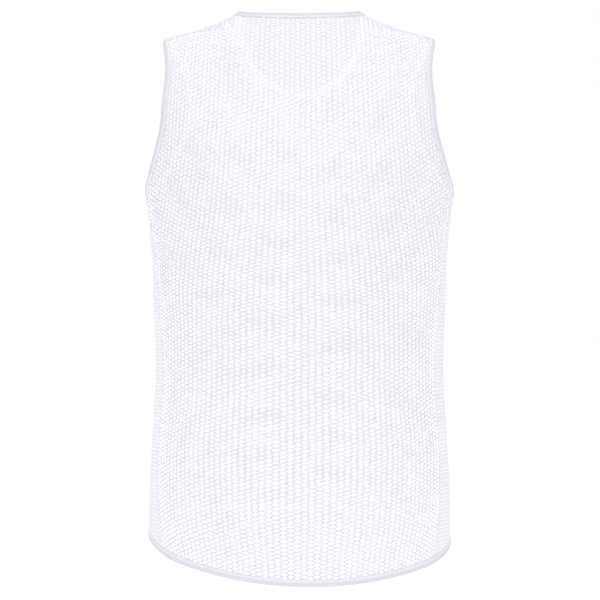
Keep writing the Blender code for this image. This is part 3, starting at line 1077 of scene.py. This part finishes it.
def crossStitches(name, lines):
    spots, along, normals = [], [], []
    for line in lines:
        count = int(line.length / stitch["crossStep"])
        i = np.tile(np.rint(np.arange(count) * (line.count - 1) / count).astype(int), 2)
        lean = stitch["crossTurn"] * (1 - np.tile(np.arange(count) % 2, 2) * 2)[:, None]
        out = np.repeat([1, -1], count) * seam["thick"] * stitch["crossSink"]
        spots.append(line.at(i, np.zeros(len(i)), out))
        along.append(unit(line.away[i] * np.cos(lean) + line.tangent[i] * np.sin(lean)))
        normals.append(line.normal[i])
    parts = [np.concatenate(part) for part in (spots, along, normals)]
    return stitches(name, *parts, stitch["crossLength"])


def sidePath(face, hand):
    past = 0.001  # the seam starts and ends under the bindings
    heights = np.linspace(seamTop(face) + past, seamFoot(face, hand) - past, seam["points"]["side"])
    station, angle = sideCurve(heights)
    return path(station, place(face, hand, angle), seam["spacing"], 1, closed=False)


def shoulderPath(hand):
    widths = (cut["neckHalfWidth"], cut["shoulderHalfWidth"])
    station, angle = shoulderCurve(np.linspace(*widths, seam["points"]["shoulder"]))
    return path(station, hand * angle, seam["spacing"], 1, closed=False)


seamLines = {}
for hand, side in ((1, "left"), (-1, "right")):
    seamLines["side_seam_back_" + side] = sidePath("back", hand)
    seamLines["side_seam_front_" + side] = sidePath("front", hand)
    seamLines["shoulder_seam_" + side] = shoulderPath(hand)
seamBands = {name: seamBand(name, line) for name, line in seamLines.items()}
crossStitches("seam_stitches", seamLines.values())
bindingStitches("neck_stitches", neckPath, band["neck"])
bindingStitches("armhole_stitches_left", armPaths[1], band["armhole"])
bindingStitches("armhole_stitches_right", armPaths[-1], band["armhole"])
bindingStitches("hem_stitches", hemPath, band["hem"])
print("seams and stitches made")


studio = {
    "floorHeight": -0.82,
    "floorSize": 60.0,
    "floorTone": (0.93, 0.93, 0.935),
    "floorGlow": 0.45,
    "glow": 0.60,
    "seen": 1.0,
}

lamps = {
    "behind": {"at": (0.3, 3.0, 0.4), "aim": (0, 0, -0.3), "size": (2.0, 2.0), "power": 2},
    "sideLeft": {"at": (2.4, 1.8, 0.2), "aim": (0, 0, -0.3), "size": (1.5, 1.5), "power": 8},
    "sideRight": {"at": (-2.4, 1.8, 0.2), "aim": (0, 0, -0.3), "size": (1.5, 1.5), "power": 8},
    "inside": {"at": (0, 0.045, -0.33), "aim": (0, -1, -0.33), "size": (0.30, 0.58), "power": 0.55},
    "insideTop": {"at": (0, 0.035, -0.07), "aim": (0, -1, -0.07), "size": (0.24, 0.10), "power": 0.050},
    "above": {"at": (0, 0.5, 2.2), "aim": (0, 0, 0), "size": (1.4, 1.0), "power": 31},
    "insideShoulders": {"at": (0, 0, -0.14), "aim": (0, -0.04, 0), "size": (0.26, 0.06), "power": 0.05},
    "insideFoot": {"at": (0, 0.045, -0.58), "aim": (0, -1, -0.58), "size": (0.28, 0.08), "power": 0.04},
}

camera = {
    "distance": 2.4,
    "turn": math.radians(1.0),
    "height": -0.3134,
    "field": 0.6888,  # metres across at the garment's middle
    "frame": 600,
    "middle": 299.5,  # the pixel column of the garment's middle
}


def makeFloor():
    bm = bmesh.new()
    bmesh.ops.create_grid(bm, x_segments=8, y_segments=8, size=studio["floorSize"] / 2)
    bmesh.ops.translate(bm, verts=bm.verts[:], vec=(0, 0, studio["floorHeight"]))
    mesh = bpy.data.meshes.new("studio_floor")
    bm.to_mesh(mesh)
    bm.free()
    floor = bpy.data.objects.new("studio_floor", mesh)
    bpy.context.scene.collection.objects.link(floor)
    paper = finish(
        "paleFloorPaper",
        Roughness=0.9,
        Specular_IOR_Level=0.1,
        Emission_Color=(1, 1, 1, 1),
        Emission_Strength=studio["floorGlow"],
    )
    tint = paper.noise(paper.objectCoordinates(), 1.5)
    low = tuple(value * 0.985 for value in studio["floorTone"])
    mesh.materials.append(paper.wear(Base_Color=paper.tone(tint, low, studio["floorTone"])))


def makeLamp(name, lamp):
    light = bpy.data.lights.new(name, "AREA")
    light.shape = "RECTANGLE"
    light.size, light.size_y = lamp["size"]
    light.energy = lamp["power"]
    holder = bpy.data.objects.new(name, light)
    bpy.context.scene.collection.objects.link(holder)
    holder.location = lamp["at"]
    towards = Vector(lamp["aim"]) - Vector(lamp["at"])
    holder.rotation_euler = towards.to_track_quat("-Z", "Y").to_euler()
    holder.visible_camera = False


def makeSurroundings():
    world = bpy.data.worlds.new("whiteStudio")
    bpy.context.scene.world = world
    world.use_nodes = True
    tree = world.node_tree
    glow = tree.nodes["Background"]
    glow.inputs["Color"].default_value = (1, 1, 1, 1)
    seen = tree.nodes.new("ShaderNodeLightPath")
    level = tree.nodes.new("ShaderNodeMapRange")
    level.inputs["To Min"].default_value = studio["glow"]
    level.inputs["To Max"].default_value = studio["seen"]
    tree.links.new(seen.outputs["Is Camera Ray"], level.inputs["Value"])
    tree.links.new(level.outputs["Result"], glow.inputs["Strength"])


def makeCamera():
    lens = bpy.data.cameras.new("photographView")
    holder = bpy.data.objects.new("photographView", lens)
    bpy.context.scene.collection.objects.link(holder)
    turn, distance = camera["turn"], camera["distance"]
    holder.location = (-distance * math.sin(turn), distance * math.cos(turn), camera["height"])
    holder.rotation_euler = (quarter, 0, math.pi + turn)
    lens.sensor_width = 36
    lens.lens = lens.sensor_width * distance / camera["field"]
    lens.shift_x = (camera["frame"] / 2 - camera["middle"]) / camera["frame"]
    lens.clip_end = 200
    bpy.context.scene.camera = holder


makeFloor()
for name, lamp in lamps.items():
    makeLamp(name, lamp)
makeSurroundings()
makeCamera()
bpy.context.scene.view_settings.view_transform = "Standard"
print("floor, light and camera made")
